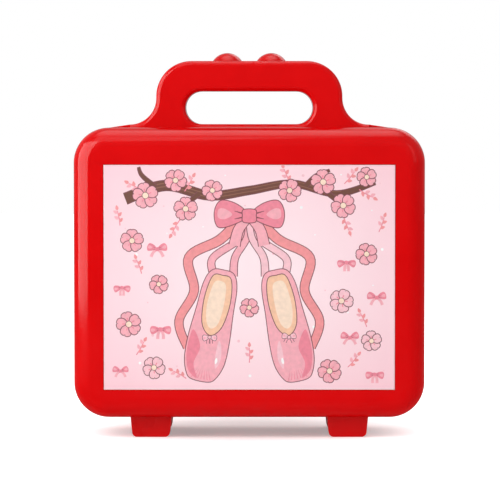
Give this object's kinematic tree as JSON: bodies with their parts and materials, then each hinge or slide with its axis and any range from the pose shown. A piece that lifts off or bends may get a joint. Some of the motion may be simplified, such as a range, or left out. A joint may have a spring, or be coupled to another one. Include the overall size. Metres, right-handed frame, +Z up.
{
  "type": "musical jewellery box",
  "caption": "Upright carry-case jewellery box with a handle, a hinged picture door, a turning dancer, a wind-up movement and hanging space.",
  "frame": {"origin": "centre of the bounding box, at the underside of the feet", "axes": "+Z up, the picture door faces -Y, +X to the right seen from the front"},
  "size_m": [0.21, 0.1, 0.2306],
  "materials": {
    "red_shell": "gloss",
    "red_foot": "satin",
    "picture": "matte print",
    "pink_card": "matte",
    "white_plastic": "satin",
    "clear_pane": "clear",
    "silvered_glass": "polished",
    "gold_plastic": "metallised",
    "velvet": "velvet",
    "tulle": "tulle",
    "doll": "painted",
    "steel": "bright",
    "ferrite": "dull",
    "zinc": "as cast",
    "brass": "polished"
  },
  "bodies": {
    "case": {"back_shell": "red_shell", "rear_feet": "red_foot", "handle_front": "red_shell", "handle_rear": "red_shell", "handle_screws": "steel", "hinge_pins": "steel", "catch_magnet": "ferrite", "stage_deck": "white_plastic", "plinth_front": "white_plastic", "movement_window": "clear_pane", "backdrop": "pink_card", "stage_mirror": "silvered_glass", "mirror_frame": "gold_plastic", "divider_wall": "white_plastic", "jewel_shelf": "white_plastic", "ring_cushion": "velvet", "trinket_bin": "pink_card", "carousel_pin": "steel", "rocker_pin": "steel", "movement_frame": "zinc", "movement_screws": "steel", "comb": "steel", "comb_screws": "brass", "clutch_spring": "steel", "spindle_bush": "brass"},
    "door": {"door_shell": "red_shell", "picture_panel": "picture", "front_feet": "red_foot", "door_liner": "pink_card", "door_mirror": "silvered_glass", "hook_rail": "white_plastic", "door_pocket": "pink_card", "catch_plate": "steel"},
    "key": {"winding_arbor": "steel", "winding_key": "brass"},
    "barrel": {"spring_drum": "brass", "drum_cover": "brass", "mainspring": "steel"},
    "cylinder": {"tune_cylinder": "brass", "great_wheel": "brass", "drive_pinion": "brass"},
    "dancer": {"spindle": "steel", "turntable": "white_plastic", "ballerina_figure": "doll", "ballerina_tutu": "tulle"},
    "governor": {"governor_arbor": "steel", "worm_wheel": "brass"},
    "fan": {"worm_shaft": "steel", "air_fan": "white_plastic"},
    "play": {"play_button": "red_shell"},
    "stop": {"stop_button": "red_shell"},
    "rocker": {"button_rocker": "white_plastic"},
    "brake": {"brake_rod": "steel"},
    "carousel": {"necklace_carousel": "white_plastic"}
  },
  "joints": [
    {"name": "door_swing", "type": "hinge", "parent": "case", "child": "door", "pos_m": [-0.102, -0.024, 0.09875], "axis": [0, 0, -1], "range_deg": [0, 110]},
    {"name": "rocker_tilt", "type": "hinge", "parent": "case", "child": "rocker", "pos_m": [0, -0.008, 0.21334], "axis": [0, 1, 0], "range_deg": [-3.45, 3.45]},
    {"name": "play_press", "type": "slide", "parent": "case", "child": "play", "axis": [0, 0, -1], "range_m": [-0.0008, 0.0008]},
    {"name": "stop_press", "type": "slide", "parent": "case", "child": "stop", "axis": [0, 0, -1], "range_m": [-0.0008, 0.0008]},
    {"name": "brake_lift", "type": "slide", "parent": "case", "child": "brake", "axis": [0, 0, 1], "range_m": [-0.00261, 0.00261]},
    {"name": "key_wind", "type": "hinge", "parent": "case", "child": "key", "pos_m": [0.01916, 0.034, 0.038], "axis": [0, 1, 0], "continuous": true},
    {"name": "cylinder_turn", "type": "hinge", "parent": "case", "child": "cylinder", "pos_m": [0, 0.004, 0.038], "axis": [1, 0, 0], "continuous": true},
    {"name": "barrel_turn", "type": "hinge", "parent": "case", "child": "barrel", "pos_m": [0.01916, 0.008, 0.038], "axis": [0, 1, 0], "continuous": true},
    {"name": "dancer_turn", "type": "hinge", "parent": "case", "child": "dancer", "pos_m": [-0.032, 0.004, 0.062], "axis": [0, 0, 1], "continuous": true},
    {"name": "governor_turn", "type": "hinge", "parent": "case", "child": "governor", "pos_m": [-0.0433, 0.02, 0.038], "axis": [1, 0, 0], "continuous": true},
    {"name": "fan_turn", "type": "hinge", "parent": "case", "child": "fan", "pos_m": [-0.0433, 0.02, 0.0467], "axis": [0, 1, 0], "continuous": true},
    {"name": "carousel_turn", "type": "hinge", "parent": "case", "child": "carousel", "pos_m": [0.0703, 0.004, 0.1711], "axis": [0, 0, 1], "continuous": true}
  ],
  "couplings": [
    {"joint": "rocker_tilt", "follows": "play_press", "rad_per_m": 75.188},
    {"joint": "stop_press", "follows": "play_press", "ratio": -1},
    {"joint": "brake_lift", "follows": "play_press", "ratio": 3.2556},
    {"joint": "barrel_turn", "follows": "cylinder_turn", "ratio": 0.33333},
    {"joint": "dancer_turn", "follows": "cylinder_turn", "ratio": -2.4},
    {"joint": "governor_turn", "follows": "cylinder_turn", "ratio": -3},
    {"joint": "fan_turn", "follows": "cylinder_turn", "ratio": -72}
  ]
}
